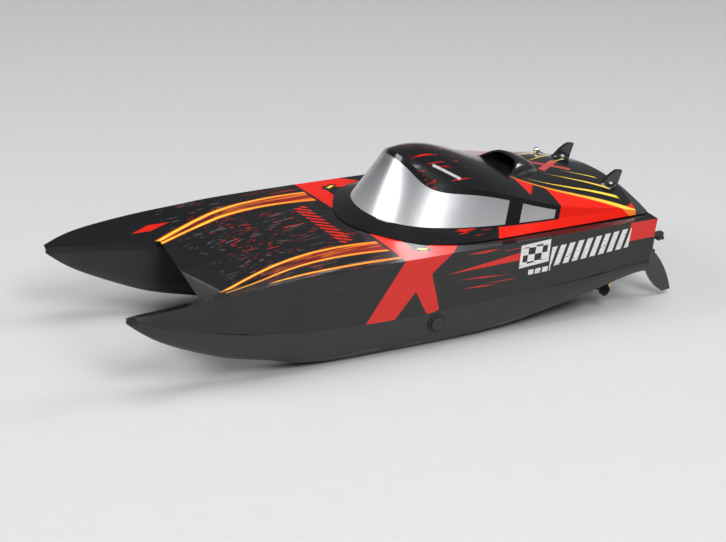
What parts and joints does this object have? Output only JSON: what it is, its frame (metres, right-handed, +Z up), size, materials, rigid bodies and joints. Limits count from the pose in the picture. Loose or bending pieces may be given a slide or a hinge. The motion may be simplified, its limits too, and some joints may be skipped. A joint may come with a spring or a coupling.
{
  "type": "radio-controlled racing boat",
  "caption": "Twin-hull electric racing boat model with a lift-off cabin, twin propellers, linked rudders and an equipment bay.",
  "frame": {"origin": "under the middle of the boat, on the surface that the keels rest on", "axes": "+X towards the bow tips, +Y to port, +Z up"},
  "size_m": [0.468, 0.1502, 0.1244],
  "materials": {
    "hull_grey": "semi-matt moulded plastic",
    "deck_black": "gloss black lacquer with printed stripes",
    "canopy_black": "gloss black lacquer with printed flashes",
    "silver_glazing": "silver lacquered plastic",
    "cover_grey": "satin moulded plastic",
    "fin_black": "gloss moulded plastic",
    "chrome": "polished chrome plate",
    "steel": "drawn stainless steel",
    "motor_can": "zinc-plated steel can",
    "brass": "turned brass",
    "nylon_black": "glass-filled nylon",
    "propeller_plastic": "moulded reinforced plastic",
    "rubber_black": "moulded rubber",
    "foam_grey": "closed-cell foam",
    "battery_wrap": "heat-shrink film",
    "strap_web": "woven webbing",
    "servo_case": "moulded plastic",
    "radio_case": "ribbed moulded plastic",
    "switch_red": "moulded plastic"
  },
  "bodies": {
    "hull": {"lower_hull": "hull_grey", "deck": "deck_black", "hatch_seal": "foam_grey", "stern_cover": "cover_grey", "bracket_screws": "steel", "pushrod_boot": "rubber_black", "servo": "servo_case", "servo_bracket": "nylon_black", "battery_tray": "nylon_black", "battery": "battery_wrap", "battery_strap": "strap_web", "radio_box": "radio_case", "switch_body": "nylon_black", "drain_socket": "rubber_black", "port_motor": "motor_can", "starboard_motor": "motor_can", "port_motor_mount": "nylon_black", "starboard_motor_mount": "nylon_black", "port_motor_strap": "steel", "starboard_motor_strap": "steel", "port_stern_tube": "brass", "starboard_stern_tube": "brass", "port_prop_strut": "nylon_black", "starboard_prop_strut": "nylon_black", "port_rudder_bracket": "nylon_black", "starboard_rudder_bracket": "nylon_black"},
    "canopy": {"canopy": "canopy_black", "windshield": "silver_glazing", "port_quarter_window": "silver_glazing", "starboard_quarter_window": "silver_glazing", "roof_scoop": "fin_black", "canopy_pegs": "nylon_black", "port_tail_fin": "fin_black", "starboard_tail_fin": "fin_black"},
    "lock_knob": {"canopy_lock_knob": "chrome", "lock_tongue": "steel"},
    "port_prop": {"port_motor_shaft": "steel", "port_shaft_coupling": "brass", "port_prop_shaft": "steel", "port_propeller": "propeller_plastic", "port_prop_nut": "brass"},
    "starboard_prop": {"starboard_motor_shaft": "steel", "starboard_shaft_coupling": "brass", "starboard_prop_shaft": "steel", "starboard_propeller": "propeller_plastic", "starboard_prop_nut": "brass"},
    "port_rudder": {"port_rudder": "fin_black", "port_tiller": "nylon_black"},
    "starboard_rudder": {"starboard_rudder": "fin_black", "starboard_tiller": "nylon_black"},
    "tie_bar": {"tie_bar": "nylon_black"},
    "pushrod": {"pushrod": "steel"},
    "servo_horn": {"servo_horn": "nylon_black"},
    "switch_slider": {"switch_slider": "switch_red"},
    "drain_plug": {"drain_plug": "nylon_black"}
  },
  "joints": [
    {"name": "canopy_lift", "type": "slide", "parent": "hull", "child": "canopy", "axis": [0, 0, 1], "range_m": [0, 0.06]},
    {"name": "lock_turn", "type": "hinge", "parent": "canopy", "child": "lock_knob", "pos_m": [-0.169, -0.044, 0.086], "axis": [0, 0, 1], "range_deg": [0, 90]},
    {"name": "port_prop_spin", "type": "hinge", "parent": "hull", "child": "port_prop", "pos_m": [-0.164, 0.0585, 0.018], "axis": [1, 0, 0], "continuous": true},
    {"name": "starboard_prop_spin", "type": "hinge", "parent": "hull", "child": "starboard_prop", "pos_m": [-0.164, -0.0585, 0.018], "axis": [1, 0, 0], "continuous": true},
    {"name": "port_rudder_turn", "type": "hinge", "parent": "hull", "child": "port_rudder", "pos_m": [-0.207, 0.056, 0.044], "axis": [0, 0, 1], "range_deg": [-25, 25]},
    {"name": "starboard_rudder_turn", "type": "hinge", "parent": "hull", "child": "starboard_rudder", "pos_m": [-0.207, -0.056, 0.044], "axis": [0, 0, 1], "range_deg": [-25.5, 25.5]},
    {"name": "tie_bar_slide", "type": "slide", "parent": "hull", "child": "tie_bar", "axis": [0, 1, 0], "range_m": [-0.0041, 0.0041]},
    {"name": "pushrod_slide", "type": "slide", "parent": "hull", "child": "pushrod", "axis": [1, 0, 0], "range_m": [-0.0045, 0.0045]},
    {"name": "servo_horn_turn", "type": "hinge", "parent": "hull", "child": "servo_horn", "pos_m": [-0.126, 0.0434, 0.0638], "axis": [0, 1, 0], "range_deg": [-25.5, 25.5]},
    {"name": "power_switch_slide", "type": "slide", "parent": "hull", "child": "switch_slider", "axis": [0, 1, 0], "range_m": [0, 0.004]},
    {"name": "drain_plug_pull", "type": "slide", "parent": "hull", "child": "drain_plug", "axis": [0, 1, 0], "range_m": [0, 0.012]}
  ],
  "couplings": [
    {"joint": "starboard_rudder_turn", "follows": "port_rudder_turn", "ratio": 1},
    {"joint": "tie_bar_slide", "follows": "port_rudder_turn", "m_per_rad": -0.009},
    {"joint": "pushrod_slide", "follows": "port_rudder_turn", "m_per_rad": 0.01},
    {"joint": "servo_horn_turn", "follows": "port_rudder_turn", "ratio": -1}
  ]
}
